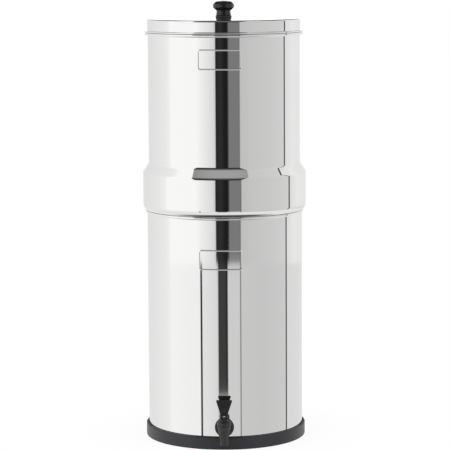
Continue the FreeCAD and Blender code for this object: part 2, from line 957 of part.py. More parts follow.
pin_height = size("cam_radius") + size("cam_clearance")
pin_z = tap_height + lip_z + size("bonnet_height") + pin_height
valve_z = tap_height - size("valve_drop")
socket_floor = size("cup_skin") + size("cup_gap")
socket_wall = size("rod_radius") + size("pin_clearance")
bell_radius = size("valve_radius") - size("cup_bell_clearance")
seat_cup = turned("seat_cup_form", [
    (ZERO, size("cup_gap")),
    (size("valve_radius") - size("cup_foot_clearance"), size("cup_gap")),
    (bell_radius, size("rod_socket")),
    (bell_radius, size("cup_height")),
    (bell_radius - size("cup_skin"), size("cup_height")),
    (bell_radius - size("cup_skin"), size("rod_socket")),
    (socket_wall + size("cup_skin"), size("rod_socket")),
    (socket_wall + size("cup_skin"), socket_floor + size("rod_socket")),
    (socket_wall, socket_floor + size("rod_socket")),
    (socket_wall, socket_floor),
    (ZERO, socket_floor),
])
move(keep(seat_cup, "seat_cup"), y=tap_y, z=valve_z)


def crosswise(thing, width, y=ZERO, z=ZERO):
    """Lays a piece along X, centred on the tap's middle plane, before its parent is placed."""
    return move(thing, x=-width / 2, y=y, z=z, turn=(Y_AXIS, 90))


rod = move(
    cylinder("rod_shaft", size("rod_radius"), pin_z - valve_z - socket_floor),
    z=valve_z + socket_floor - pin_z,
)
eye = crosswise(cylinder("rod_eye", size("eye_radius"), size("eye_thick")), size("eye_thick"))
eye_hole = crosswise(
    cylinder("rod_eye_hole", size("pin_radius") + size("pin_clearance"), size("foot_width")),
    size("foot_width"),
)
stem = cut("stem_form", fused("stem_blank", rod, eye), eye_hole)
move(keep(stem, "tap_stem"), y=tap_y, z=pin_z)

pin = crosswise(
    cylinder("pin_form", size("pin_radius"), size("foot_width")),
    size("foot_width"),
    y=tap_y,
    z=pin_z,
)
keep(pin, "lever_pin")

side = new_body("lever_side")
side_sketch = new_sketch(side, "YZ_Plane")
top_y = size("lever_lean")
waist_y = size("waist_lean")
tip_low = size("lever_length") - size("tip_edge")
outline(side_sketch, [
    (size("heel_radius"), ZERO),
    (waist_y + size("waist") / 2, size("waist_height")),
    (top_y + size("tip_back"), tip_low),
    (top_y + size("tip_back"), size("lever_length")),
    (top_y - size("tip_front"), size("lever_length")),
    (top_y - size("tip_front"), tip_low),
    (waist_y - size("waist") / 2, size("waist_height")),
    (-size("cam_offset") - size("cam_radius"), ZERO),
])
side_pad = side.newObject("PartDesign::Pad", "lever_side_pad")
side_pad.Profile = side_sketch
side_pad.setExpression("Length", size("lever_width").text)
side_pad.SideType = "Symmetric"

front = new_body("lever_front")
front_sketch = new_sketch(front, "XZ_Plane")
foot = size("foot_width") / 2
tip = size("lever_width") / 2
low = -pin_height
outline(front_sketch, [
    (-foot, low),
    (foot, low),
    (foot, size("foot_height")),
    (tip, tip_low),
    (tip, size("lever_length")),
    (-tip, size("lever_length")),
    (-tip, tip_low),
    (-foot, size("foot_height")),
])
front_pad = front.newObject("PartDesign::Pad", "lever_front_pad")
front_pad.Profile = front_sketch
front_pad.setExpression("Length", (size("lever_lean") * 4).text)
front_pad.SideType = "Symmetric"
doc.recompute()

heel = crosswise(cylinder("lever_heel", size("heel_radius"), size("foot_width")), size("foot_width"))
cam = crosswise(
    cylinder("lever_cam", size("cam_radius"), size("foot_width")),
    size("foot_width"),
    y=-size("cam_offset"),
)
blade = common("lever_blade", side, front)
slot_width = size("eye_thick") + size("slot_clearance") * 2
slot_depth = size("heel_radius") + size("cam_radius") * 2 + size("cam_offset")
slot = doc.addObject("Part::Box", "lever_slot")
bind(slot, Length=slot_width, Width=slot_depth, Height=size("slot_rise") + pin_height)
move(slot, x=-slot_width / 2, y=size("slot_rise") - slot_depth, z=-pin_height)
lever_hole = crosswise(
    cylinder("lever_hole", size("pin_radius") + size("pin_clearance"), size("foot_width")),
    size("foot_width"),
)
lever = cut(
    "lever_form",
    fused("lever_blank", blade, heel, cam),
    fused("lever_gap", slot, lever_hole),
)
move(keep(lever, "tap_lever"), y=tap_y, z=pin_z)

doc.recompute()

# Checks, then one file for each piece

for thing in doc.Objects:
    if {"Invalid", "Error"} & set(thing.State):
        raise RuntimeError(f"{thing.Name} did not build: {thing.State}")
os.makedirs("parts", exist_ok=True)
for thing in PARTS:
    shape = thing.Shape
    if shape.isNull() or not shape.isValid() or not shape.Solids:
        raise RuntimeError(f"{thing.Label} is not a valid solid")
    shape.exportStep(f"parts/{thing.Label}.step")
    box = shape.BoundBox
    print(
        f"{thing.Label}: {len(shape.Solids)} solid, {shape.Volume:.1f} mm3,"
        f" z {box.ZMin:.2f} to {box.ZMax:.2f}"
    )
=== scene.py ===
"""A tall stainless gravity water filter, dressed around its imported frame.

Lengths are metres in the frame's own axes: +Z up, the tap towards -Y, the floor at 0.
"""
import math

import bpy
import numpy as np
from mathutils import Matrix, Vector


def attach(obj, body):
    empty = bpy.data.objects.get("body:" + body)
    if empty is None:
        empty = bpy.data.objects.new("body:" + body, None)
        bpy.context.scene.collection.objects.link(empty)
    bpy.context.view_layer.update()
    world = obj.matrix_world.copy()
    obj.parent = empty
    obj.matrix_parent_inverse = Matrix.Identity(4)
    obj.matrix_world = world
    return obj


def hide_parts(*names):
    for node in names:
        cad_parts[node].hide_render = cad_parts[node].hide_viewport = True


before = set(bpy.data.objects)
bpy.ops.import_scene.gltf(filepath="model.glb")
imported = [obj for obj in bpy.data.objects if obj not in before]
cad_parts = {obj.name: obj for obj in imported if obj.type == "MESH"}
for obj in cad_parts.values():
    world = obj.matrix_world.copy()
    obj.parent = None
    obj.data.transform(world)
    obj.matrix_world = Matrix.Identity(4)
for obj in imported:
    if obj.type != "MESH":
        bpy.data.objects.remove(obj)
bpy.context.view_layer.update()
MM = 0.001


# Lower chamber: a deep-drawn stainless pot, polished to a mirror, with a bead rolled round its mouth,
# a dished floor, and a rectangular frame pressed out of its front. It stands inside the rubber ring.

SHEET = 0.8 * MM


def outline(corners, arc_step=6.0, marks=()):
    """Points and normals along straight runs joined by tangent arcs.

    Each corner is (radius, height, rounding), with the solid on the left of the path. A corner turns
    through an arc centred rounding / sin(half angle) away on its bisector. Marks are heights that
    get a point of their own on each outer wall, a run straight up. A closed path ends where it starts.
    """
    corners = [np.array(c, float) for c in corners]
    points, normals, bends = [], [], []
    for i, corner in enumerate(corners):
        here = corner[:2]
        if i in (0, len(corners) - 1):
            bends.append((here, here, None))
            continue
        back = corners[i - 1][:2] - here
        ahead = corners[i + 1][:2] - here
        back = back / np.linalg.norm(back)
        ahead = ahead / np.linalg.norm(ahead)
        half = math.acos(np.clip(back @ ahead, -1, 1)) / 2
        reach = corner[2] / math.tan(half)
        middle = (back + ahead) / np.linalg.norm(back + ahead)
        centre = here + middle * corner[2] / math.sin(half)
        bends.append((here + back * reach, here + ahead * reach, centre))
    for i, (enter, leave, centre) in enumerate(bends):
        if i:
            start = bends[i - 1][1]
            run = enter - start
            length = np.linalg.norm(run)
            normal = np.array([run[1], -run[0]]) / length
            inner = [0.0, 1.0]
            if abs(run[0]) < 1e-9 and run[1] > 0:
                inner += [(m - start[1]) / run[1] for m in marks]
            shares = np.unique([s for s in inner if 0 <= s <= 1])
            points.append(start + shares[:, None] * run)
            normals.append(np.repeat(normal[None], len(shares), 0))
        if centre is not None:
            spoke = enter - centre
            turn = np.cross(spoke, leave - centre)
            angle = math.acos(np.clip(spoke @ (leave - centre) / (spoke @ spoke), -1, 1))
            steps = max(2, math.ceil(math.degrees(angle) / arc_step))
            swing = np.linspace(0, math.copysign(angle, turn), steps + 1)[1:-1]
            spokes = np.stack([
                spoke[0] * np.cos(swing) - spoke[1] * np.sin(swing),
                spoke[0] * np.sin(swing) + spoke[1] * np.cos(swing),
            ], axis=1)
            points.append(centre + spokes)
            outward = spokes / np.linalg.norm(spokes, axis=1, keepdims=True)
            normals.append(outward if turn > 0 else -outward)
    return np.concatenate(points), np.concatenate(normals)


def round_angles(count, marks=()):
    """Angles once round the axis, evenly spaced, with closer ones added where a detail needs them."""
    return np.unique(np.round(np.concatenate([np.arange(count) * 2 * math.pi / count, marks]), 9))


def turned(name, path, angles, relief=None, place=Matrix()):
    """A piece turned about its axis: a point is (r sin a, -r cos a, z) for a path point (r, z) at angle a.

    The path runs from the axis back to the axis, or closes on itself. The relief is a height along
    the normal given by relief(a, z) on the outer wall, and it tilts the normal by its own slope.
    """
    points, normals = path
    poles = [0, len(points) - 1] if points[0][0] < 1e-9 else []
    rows = np.array([i for i in range(len(points)) if i not in poles])
    sine, cosine = np.sin(angles), np.cos(angles)

    def around(radial, height, along=None):
        """Rows of (radial, height) carried to every angle, with a share along the turn."""
        along = np.zeros_like(radial) if along is None else along
        return np.stack([
            radial * sine + along * cosine,
            -radial * cosine + along * sine,
            np.broadcast_to(height, radial.shape),
        ], axis=-1)

    radius, height = points[rows, 0][:, None], points[rows, 1][:, None]
    out, up = normals[rows, 0][:, None], normals[rows, 1][:, None]
    flat = np.ones((1, len(angles)))
    skin = around(radius * flat, height * flat)
    facing = around(out * flat, up * flat)
    if relief is not None:
        outer = (out > 0.99) * flat
        grid_a, grid_z = flat * angles, height * flat
        nudge = 0.02 * MM
        rise = relief(grid_a, grid_z) * outer
        slope_z = (relief(grid_a, grid_z + nudge) - relief(grid_a, grid_z - nudge)) / (2 * nudge) * outer
        turn = nudge / radius
        slope_a = (relief(grid_a + turn, grid_z) - relief(grid_a - turn, grid_z)) / (2 * nudge) * outer
        skin += facing * rise[..., None]
        facing = around(out * flat, up - slope_z, -slope_a)
        facing /= np.linalg.norm(facing, axis=-1, keepdims=True)
    count = len(angles)
    index = np.arange(len(rows) * count).reshape(len(rows), count)
    lower = index if not poles else index[:-1]
    upper = np.roll(index, -1, axis=0) if not poles else index[1:]
    quads = np.stack([
        lower, np.roll(lower, -1, axis=1), np.roll(upper, -1, axis=1), upper
    ], axis=-1).reshape(-1, 4)
    vertices = skin.reshape(-1, 3)
    directions = facing.reshape(-1, 3)
    faces = quads.tolist()
    if poles:
        first, last = len(vertices), len(vertices) + 1
        vertices = np.concatenate([vertices, [[0, 0, points[0][1]], [0, 0, points[-1][1]]]])
        directions = np.concatenate([directions, [[0, 0, normals[0][1]], [0, 0, normals[-1][1]]]])
        ring = np.arange(count)
        beside = np.roll(ring, -1)
        faces += np.stack([np.full(count, first), beside, ring], axis=1).tolist()
        ring, beside = index[-1], np.roll(index[-1], -1)
        faces += np.stack([np.full(count, last), ring, beside], axis=1).tolist()
    return surface(name, vertices, faces, directions, place)


def surface(name, vertices, faces, directions=None, place=Matrix()):
    """A mesh object at the origin from arrays, shaded by its own exact normals where they are given."""
    turn = np.array(place.to_3x3())
    vertices = np.asarray(vertices) @ turn.T + np.array(place.translation)
    mesh = bpy.data.meshes.new(name)
    mesh.from_pydata(vertices.tolist(), [], faces)
    mesh.shade_smooth()
    if directions is not None:
        mesh.normals_split_custom_set_from_vertices((np.asarray(directions) @ turn.T).tolist())
    piece = bpy.data.objects.new(name, mesh)
    bpy.context.collection.objects.link(piece)
    return piece


class Wire:
    """A socket of a node tree, on which a sum is written as plain Python."""

    def __init__(self, sheet, socket):
        self.sheet = sheet
        self.socket = socket

    def operate(self, operation, *others):
        """The result of a Math node on this socket and the others, in that order."""
        return self.sheet.node("ShaderNodeMath", {"operation": operation}, {
            i: value for i, value in enumerate((self, *others))
        })

    def __add__(self, other):
        return self.operate("ADD", other)

    def __sub__(self, other):
        return self.operate("SUBTRACT", other)

    def __rsub__(self, other):
        return self.sheet.node("ShaderNodeMath", {"operation": "SUBTRACT"}, {0: other, 1: self})

    def __mul__(self, other):
        return self.operate("MULTIPLY", other)

    def __truediv__(self, other):
        return self.operate("DIVIDE", other)

    __radd__ = __add__
    __rmul__ = __mul__


class Sheet:
    """A node tree that is wired by one call for each node."""

    def __init__(self, tree):
        self.tree = tree
        tree.nodes.clear()

    def node(self, kind, settings=None, sockets=None, output=0):
        """Adds a node, sets it up, then gives each socket its value or link, and returns one output."""
        made = self.tree.nodes.new(kind)
        for name, value in (settings or {}).items():
            if name == "stops":
                ramp = made.color_ramp
                while len(ramp.elements) < len(value):
                    ramp.elements.new(0.5)
                for element, (position, colour) in zip(ramp.elements, value):
                    element.position = position
                    element.color = (*colour, 1)
            else:
                setattr(made, name, value)
        for name, value in (sockets or {}).items():
            if isinstance(value, Wire):
                self.tree.links.new(value.socket, made.inputs[name])
            else:
                made.inputs[name].default_value = value
        return Wire(self, made.outputs[output] if made.outputs else None)


def finish(name, sockets, bump=None):
    """A material: a Principled shader with the constants and wires of its sockets, and perhaps a bump."""
    material = bpy.data.materials.new(name)
    material.use_nodes = True
    sheet = Sheet(material.node_tree)
    wired = sockets(sheet)
    if bump is not None:
        height, depth = bump(sheet)
        wired["Normal"] = sheet.node("ShaderNodeBump", None, {
            "Height": height, "Distance": depth, "Strength": 1.0
        })
    shader = sheet.node("ShaderNodeBsdfPrincipled", None, wired)
    sheet.node("ShaderNodeOutputMaterial", None, {"Surface": shader})
    return material


def grain(sheet, scale, detail=2.0, stretch=(1, 1, 1)):
    """Soft noise on the piece's own coordinates, from 0 to 1."""
    place = sheet.node("ShaderNodeTexCoord", output=3)
    mapped = sheet.node("ShaderNodeMapping", None, {"Vector": place, "Scale": stretch})
    return sheet.node("ShaderNodeTexNoise", None, {"Vector": mapped, "Scale": scale, "Detail": detail})


def paint(piece, material):
    """Gives a piece its finish in place of any it had, and returns the piece."""
    piece.data.materials.clear()
    piece.data.materials.append(material)
    return piece


STEEL = (0.80, 0.80, 0.795)


def polished(sheet):
    """Mirror polish: bright steel, whose haze and faint buffing lines round the pot vary a little."""
    haze = grain(sheet, 6.0)
    lines = grain(sheet, 3.0, 4.0, stretch=(1, 1, 160))
    return {
        "Base Color": (*STEEL, 1),
        "Metallic": 1.0,
        "Roughness": 0.018 + haze * 0.012 + lines * 0.012,
    }


mirror_steel = finish("mirror_steel", polished)

RING_LEDGE = 5.0 * MM
LOWER_RADIUS = 135.3 * MM
LOWER_TOP = 400.0 * MM
PLATE_LINE = 1.6 * MM
PLATE_RELIEF = 0.5 * MM
PLATE_CORNER = 3.0 * MM
PLATE_SIZE = (75.0 * MM, 34.0 * MM)
PLATE_SHIFT = -5.1 * MM
PLATE_EDGE = 2.4 * MM
LOWER_BEAD_HEIGHT = 4.6 * MM
DISH_RISE = 3.0 * MM
DISH_FLAT = 102 * MM
DISH_RADIUS = 106 * MM


def pressed_frame(radius, centre):
    """The relief of a bare rectangular frame: a rounded ridge along a rounded rectangle's edge.

    Its height is half a cosine wave of the distance to the middle of the line.
    """
    half = np.array(PLATE_SIZE) / 2 - PLATE_LINE / 2 - PLATE_CORNER

    def rise(angle, height):
        """The relief at these angles and heights, from the signed distance to a rounded rectangle."""
        from_front = np.remainder(angle + math.pi, 2 * math.pi) - math.pi
        across = np.abs(from_front - PLATE_SHIFT / radius) * radius
        up = np.abs(height - centre)
        dx, dz = across - half[0], up - half[1]
        outside = np.hypot(np.maximum(dx, 0), np.maximum(dz, 0)) + np.minimum(np.maximum(dx, dz), 0)
        away = np.clip(np.abs(outside - PLATE_CORNER) / (PLATE_LINE * 0.75), 0, 1)
        return PLATE_RELIEF * (0.5 + 0.5 * np.cos(math.pi * away))

    return rise


def frame_marks(centre, radius, step=0.3 * MM):
    """Heights and angles that are close together across the pressed frame's lines and corners."""
    corner = np.arange(-PLATE_CORNER - PLATE_LINE, PLATE_EDGE, step)
    heights = np.concatenate([centre + s * (PLATE_SIZE[1] / 2 + corner) for s in (-1, 1)])
    angles = np.concatenate([
        (PLATE_SHIFT + s * (PLATE_SIZE[0] / 2 + corner)) / radius for s in (-1, 1)
    ])
    return heights, np.remainder(angles, 2 * math.pi)


lower_plate = LOWER_TOP - 73.0 * MM
lower_heights, lower_angles = frame_marks(lower_plate, LOWER_RADIUS)
inner = LOWER_RADIUS - SHEET
bead = inner + 3.5 * MM
lower_path = outline([
    (0, RING_LEDGE + DISH_RISE, 0),
    (DISH_FLAT, RING_LEDGE + DISH_RISE, 4 * MM),
    (DISH_RADIUS, RING_LEDGE, 4 * MM),
    (LOWER_RADIUS, RING_LEDGE, 8 * MM),
    (LOWER_RADIUS, LOWER_TOP - LOWER_BEAD_HEIGHT, 0.6 * MM),
    (bead, LOWER_TOP - LOWER_BEAD_HEIGHT, 1.9 * MM),
    (bead, LOWER_TOP, 1.9 * MM),
    (inner, LOWER_TOP, 0.7 * MM),
    (inner, RING_LEDGE + SHEET, 7.2 * MM),
    (DISH_RADIUS, RING_LEDGE + SHEET, 4 * MM),
    (DISH_FLAT, RING_LEDGE + DISH_RISE + SHEET, 4 * MM),
    (0, RING_LEDGE + DISH_RISE + SHEET, 0),
], marks=lower_heights)
lower_chamber = turned(
    "lower_pot",
    lower_path,
    round_angles(240, lower_angles),
    relief=pressed_frame(LOWER_RADIUS, lower_plate),
)
paint(lower_chamber, mirror_steel)
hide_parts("lower_chamber")
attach(lower_chamber, "base")


# Base ring: one moulded rubber ring, satin black, with softly broken edges. The lower chamber drops
# into its recess and hides the ledge.

RING_RADIUS = 140.0 * MM
RING_HEIGHT = 22.0 * MM
RING_BORE = 118.0 * MM


def moulded_rubber(sheet):
    """Black rubber with a slight bluish cast, a little greyer and duller in soft patches."""
    patch = grain(sheet, 18.0, 3.0)
    tone = sheet.node("ShaderNodeValToRGB", {"stops": [
        (0.3, (0.016, 0.0148, 0.019)), (0.7, (0.024, 0.0224, 0.028))
    ]}, {"Fac": patch})
    return {"Base Color": tone, "Roughness": 0.34 + patch * 0.12, "IOR": 1.5}


base_rubber = finish(
    "base_rubber", moulded_rubber, bump=lambda sheet: (grain(sheet, 900.0, 2.0), 0.03 * MM)
)
ring_inside = LOWER_RADIUS + 0.3 * MM
ring_path = outline([
    (RING_BORE, 0.4 * RING_LEDGE, 0),
    (RING_BORE, 0, 0.5 * MM),
    (RING_RADIUS, 0, 1.5 * MM),
    (RING_RADIUS, RING_HEIGHT, 1.8 * MM),
    (ring_inside, RING_HEIGHT, 1.0 * MM),
    (ring_inside, RING_LEDGE, 0.6 * MM),
    (RING_BORE, RING_LEDGE, 0.6 * MM),
    (RING_BORE, 0.4 * RING_LEDGE, 0),
])
ring = turned("floor_ring", (ring_path[0][:-1], ring_path[1][:-1]), round_angles(240))
paint(ring, base_rubber)
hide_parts("base_ring")
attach(ring, "base")


# Upper chamber: a second polished pot. Its spigot sits in the lower one's mouth, a collar stands on
# the bead, and a shoulder draws in to the wall. Its rim has a rolled bead too.

UPPER_RADIUS = 132.0 * MM
UPPER_TOP = 708.3 * MM
COLLAR_RADIUS = 142.2 * MM
UPPER_BEAD_HEIGHT = 4.8 * MM
upper_seat = LOWER_TOP + 0.3 * MM
upper_floor = upper_seat - 16 * MM
spigot = inner - 0.5 * MM
shoulder = upper_seat + 65.4 * MM
upper_inner = UPPER_RADIUS - SHEET
rim = upper_inner + 5.8 * MM
upper_plate = UPPER_TOP - 42.5 * MM
upper_heights, upper_angles = frame_marks(upper_plate, UPPER_RADIUS)
upper_path = outline([
    (0, upper_floor, 0),
    (spigot, upper_floor, 6 * MM),
    (spigot, upper_seat, 1.2 * MM),
    (spigot + 3.4 * MM, upper_seat, 1.2 * MM),
    (COLLAR_RADIUS, upper_seat + 4.7 * MM, 14 * MM),
    (COLLAR_RADIUS, shoulder, 10 * MM),
    (UPPER_RADIUS, shoulder + 16.3 * MM, 10 * MM),
    (UPPER_RADIUS, UPPER_TOP - UPPER_BEAD_HEIGHT, 0.6 * MM),
    (rim, UPPER_TOP - UPPER_BEAD_HEIGHT, 2.0 * MM),
    (rim, UPPER_TOP, 2.0 * MM),
    (upper_inner, UPPER_TOP, 0.7 * MM),
    (upper_inner, shoulder + 16.07 * MM, 10.8 * MM),
    (COLLAR_RADIUS - SHEET, shoulder - 0.23 * MM, 9.2 * MM),
    (COLLAR_RADIUS - SHEET, upper_seat + 5.1 * MM, 13.2 * MM),
    (spigot + 3.1 * MM, upper_seat + SHEET, 1.0 * MM),
    (spigot - SHEET, upper_seat + SHEET, 2.0 * MM),
    (spigot - SHEET, upper_floor + SHEET, 5.2 * MM),
    (0, upper_floor + SHEET, 0),
], marks=upper_heights, arc_step=4.0)
upper_chamber = turned(
    "upper_pot",
    upper_path,
    round_angles(240, upper_angles),
    relief=pressed_frame(UPPER_RADIUS, upper_plate),
)
paint(upper_chamber, mirror_steel)
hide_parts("upper_chamber")
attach(upper_chamber, "upper")


# Lid: a shallow polished pan with a folded rib round its edge and a skirt that drops into the mouth.
# The knob's screw passes through its flat centre.

lid_seat = UPPER_TOP + 0.3 * MM
LID_HEIGHT = 24.2 * MM
LID_WALL = 132.8 * MM
LID_RIB = 137.6 * MM
LID_CROWN = 1.4 * MM
LID_BOSS = 20.0 * MM
DULL_FROM = 2.2 * MM
DULL_TO = 1.6 * MM
lid_top = lid_seat + LID_HEIGHT
skirt = upper_inner - 0.5 * MM
skirt_foot = lid_seat - 12.0 * MM
rib_top = lid_seat + 2.6 * MM
lid_path = outline([
    (0, lid_top - SHEET, 0),
    (LID_BOSS, lid_top - SHEET, 30 * MM),
    (LID_WALL - SHEET, lid_top - LID_CROWN - SHEET, 2.2 * MM),
    (LID_WALL - SHEET, rib_top, 0.5 * MM),
    (skirt - SHEET, rib_top, 1.0 * MM),
    (skirt - SHEET, skirt_foot, 0.35 * MM),
    (skirt, skirt_foot, 0.35 * MM),
    (skirt, lid_seat, 0.5 * MM),
    (LID_RIB, lid_seat, 1.1 * MM),
    (LID_RIB, rib_top, 1.1 * MM),
    (LID_WALL, rib_top, 0.6 * MM),
    (LID_WALL, lid_top - LID_CROWN, 3.0 * MM),
    (LID_BOSS, lid_top, 30 * MM),
    (0, lid_top, 0),
])


def lid_polish(sheet):
    """The pots' polish on the lid's side, and a slightly duller one on its top."""
    sockets = polished(sheet)
    place = sheet.node("ShaderNodeTexCoord", output=3)
    height = sheet.node("ShaderNodeSeparateXYZ", None, {"Vector": place}, output=2)
    top_share = sheet.node("ShaderNodeMapRange", None, {
        "Value": height, "From Min": lid_top - DULL_FROM, "From Max": lid_top - DULL_TO
    })
    sockets["Roughness"] = sockets["Roughness"] + top_share * 0.06
    return sockets


lid = turned("lid_pan", lid_path, round_angles(240))
paint(lid, finish("lid_steel", lid_polish))
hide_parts("lid")
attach(lid, "lid")


# Lid knob: a round black moulding like a mushroom, with a foot ring, a waist and a rounded
# cap, over a black washer. A screw from under the lid holds it.


def gloss_plastic(sheet):
    """Deep black moulded plastic with a polished skin."""
    cloud = grain(sheet, 40.0, 2.0)
    tone = sheet.node("ShaderNodeValToRGB", {"stops": [
        (0.2, (0.010, 0.010, 0.011)), (0.8, (0.016, 0.016, 0.017))
    ]}, {"Fac": cloud})
    return {"Base Color": tone, "Roughness": 0.07 + cloud * 0.05, "IOR": 1.5}


knob_plastic = finish("knob_plastic", gloss_plastic)
KNOB_FOOT_RADIUS = 12.9 * MM
KNOB_NECK_RADIUS = 12.2 * MM
KNOB_RADIUS = 18.4 * MM
WASHER_RADIUS = 13.8 * MM
knob_foot = lid_top + 4.0 * MM
knob_path = outline([
    (0, knob_foot, 0),
    (KNOB_FOOT_RADIUS, knob_foot, 1.3 * MM),
    (KNOB_FOOT_RADIUS, knob_foot + 3.6 * MM, 1.3 * MM),
    (KNOB_NECK_RADIUS, knob_foot + 3.9 * MM, 0.2 * MM),
    (KNOB_NECK_RADIUS, knob_foot + 8.4 * MM, 3.5 * MM),
    (KNOB_RADIUS, knob_foot + 13.8 * MM, 2.6 * MM),
    (KNOB_RADIUS, knob_foot + 19.2 * MM, 3.5 * MM),
    (13.2 * MM, knob_foot + 24.0 * MM, 7.0 * MM),
    (0, knob_foot + 25.7 * MM, 0),
], arc_step=5.0)
knob = turned("knob", knob_path, round_angles(96))
paint(knob, knob_plastic)
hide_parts("lid_knob")
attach(knob, "lid")


def moulded_seal(sheet):
    """Plain black washer rubber, faintly dusty."""
    dust = grain(sheet, 60.0, 3.0)
    tone = sheet.node("ShaderNodeValToRGB", {"stops": [
        (0.35, (0.018, 0.018, 0.018)), (0.75, (0.030, 0.030, 0.030))
    ]}, {"Fac": dust})
    return {"Base Color": tone, "Roughness": 0.5 + dust * 0.15}


seal_rubber = finish("seal_rubber", moulded_seal)
washer_path = outline([
    (0, lid_top, 0),
    (WASHER_RADIUS, lid_top, 0.8 * MM),
    (WASHER_RADIUS, knob_foot, 1.4 * MM),
    (0, knob_foot, 0),
])
knob_washer = turned("knob_washer_disc", washer_path, round_angles(96))
paint(knob_washer, seal_rubber)
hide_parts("knob_washer")
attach(knob_washer, "lid")


def plain_steel(sheet):
    """Drawn stainless rod and bar, finely scratched along X."""
    scratch = grain(sheet, 80.0, 3.0, stretch=(1, 12, 12))
    return {"Base Color": (0.62, 0.62, 0.62, 1), "Metallic": 1.0, "Roughness": 0.2 + scratch * 0.15}


fastener_steel = finish("fastener_steel", plain_steel)


def dress(names, material):
    """Gives CAD pieces that keep their own shape their finish."""
    for name in names:
        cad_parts[name].material_slots[0].material = material


dress(["knob_screw", "knob_screw_washer", "tap_stem", "lever_pin"], fastener_steel)


# Filter candles: fired white ceramic candles in white moulded cups, each held to the upper floor by
# a hollow threaded stem, a rubber seal and a wing nut. Rubber plugs close the four spare holes.


def fired_ceramic(sheet):
    """Chalky porous ceramic with faint warm clouds and a fine tooth."""
    cloud = grain(sheet, 22.0, 4.0)
    tone = sheet.node("ShaderNodeValToRGB", {"stops": [
        (0.3, (0.76, 0.73, 0.66)), (0.7, (0.84, 0.82, 0.77))
    ]}, {"Fac": cloud})
    return {"Base Color": tone, "Roughness": 0.75 + cloud * 0.15}


def white_moulding(sheet):
    """White polypropylene, slightly waxy."""
    cloud = grain(sheet, 30.0, 2.0)
    tone = sheet.node("ShaderNodeValToRGB", {"stops": [
        (0.3, (0.78, 0.78, 0.77)), (0.7, (0.83, 0.83, 0.82))
    ]}, {"Fac": cloud})
    return {"Base Color": tone, "Roughness": 0.32 + cloud * 0.1}


ceramic = finish(
    "candle_ceramic", fired_ceramic, bump=lambda sheet: (grain(sheet, 700.0, 3.0), 0.08 * MM)
)
white_plastic = finish("white_plastic", white_moulding)
places = range(1, 5)
dress([f"filter_candle_{i}" for i in places], ceramic)
dress([f"candle_base_{i}" for i in places], white_plastic)
dress([f"wing_nut_{i}" for i in places], white_plastic)
dress([f"candle_seal_{i}" for i in places], seal_rubber)
dress([f"blanking_plug_{i}" for i in places], seal_rubber)


# Tap body: one black moulding. A threaded shank goes through the pot's wall, a flange clamps the
# outer washer, and a short arm carries an upright with the valve chamber above and the spout below.


def satin_plastic(sheet):
    """Satin black moulded plastic with a fine spark-eroded texture."""
    cloud = grain(sheet, 35.0, 2.0)
    tone = sheet.node("ShaderNodeValToRGB", {"stops": [
        (0.25, (0.011, 0.0112, 0.012)), (0.75, (0.018, 0.018, 0.0195))
    ]}, {"Fac": cloud})
    return {"Base Color": tone, "Roughness": 0.3 + cloud * 0.1, "IOR": 1.5}


tap_plastic = finish(
    "tap_plastic", satin_plastic, bump=lambda sheet: (grain(sheet, 1500.0, 2.0), 0.015 * MM)
)
TAP_HEIGHT = 39.0 * MM
TAP_REACH = 27.0 * MM
SHANK_LENGTH = 26.0 * MM
SPOUT_DROP = 25.3 * MM
BOWL_LIP = 8.5 * MM
NECK_TOP = 13.5 * MM
ARM_RADIUS = 8.2 * MM
CHAMBER_RADIUS = 8.6 * MM
CHAMBER_TOP = 15.5 * MM
VALVE_RADIUS = 6.8 * MM
BORE_RADIUS = 4.6 * MM
BORE_END = -28.0 * MM
VALVE_SEAT = -8.0 * MM
NECK_RADIUS = 10.0 * MM
SHANK_RADIUS = 7.8 * MM
PASSAGE_RADIUS = 4.4 * MM
FLANGE_RADIUS = 15.4 * MM
FLANGE_HEIGHT = 3.0 * MM
OUTER_WASHER = 3.0 * MM
tap_y = -LOWER_RADIUS - TAP_REACH
shank_end = -LOWER_RADIUS - OUTER_WASHER + SHANK_LENGTH
to_upright = Matrix.Translation((0, tap_y, TAP_HEIGHT))
to_arm = Matrix.Translation((0, shank_end, TAP_HEIGHT)) @ Matrix.Rotation(math.pi / 2, 4, "X")
arm_length = shank_end - tap_y
flange_face = SHANK_LENGTH + FLANGE_HEIGHT
upright_path = outline([
    (0, -SPOUT_DROP, 0),
    (7.4 * MM, -SPOUT_DROP, 0.7 * MM),
    (8.8 * MM, VALVE_SEAT, 25 * MM),
    (11.0 * MM, 4.5 * MM, 25 * MM),
    (11.8 * MM, BOWL_LIP, 0.7 * MM),
    (NECK_RADIUS, BOWL_LIP, 0.3 * MM),
    (NECK_RADIUS, NECK_TOP, 0.3 * MM),
    (0, NECK_TOP, 0),
])
arm_path = outline([
    (0, 0, 0),
    (SHANK_RADIUS, 0, 0.7 * MM),
    (SHANK_RADIUS, SHANK_LENGTH, 0.3 * MM),
    (FLANGE_RADIUS, SHANK_LENGTH, 0.6 * MM),
    (FLANGE_RADIUS, flange_face, 1.2 * MM),
    (ARM_RADIUS, flange_face, 2.5 * MM),
    (ARM_RADIUS, arm_length, 0.5 * MM),
    (0, arm_length, 0),
])
chamber_path = outline([
    (0, BORE_END, 0),
    (BORE_RADIUS, BORE_END, 0.2 * MM),
    (BORE_RADIUS, VALVE_SEAT, 0.3 * MM),
    (VALVE_RADIUS, VALVE_SEAT, 0.3 * MM),
    (VALVE_RADIUS, -5 * MM, 0.5 * MM),
    (CHAMBER_RADIUS, 4 * MM, 0.5 * MM),
    (CHAMBER_RADIUS, CHAMBER_TOP, 0.2 * MM),
    (0, CHAMBER_TOP, 0),
])
passage_path = outline([
    (0, -2 * MM, 0),
    (PASSAGE_RADIUS, -2 * MM, 0.2 * MM),
    (PASSAGE_RADIUS, arm_length, 0.2 * MM),
    (0, arm_length, 0),
])


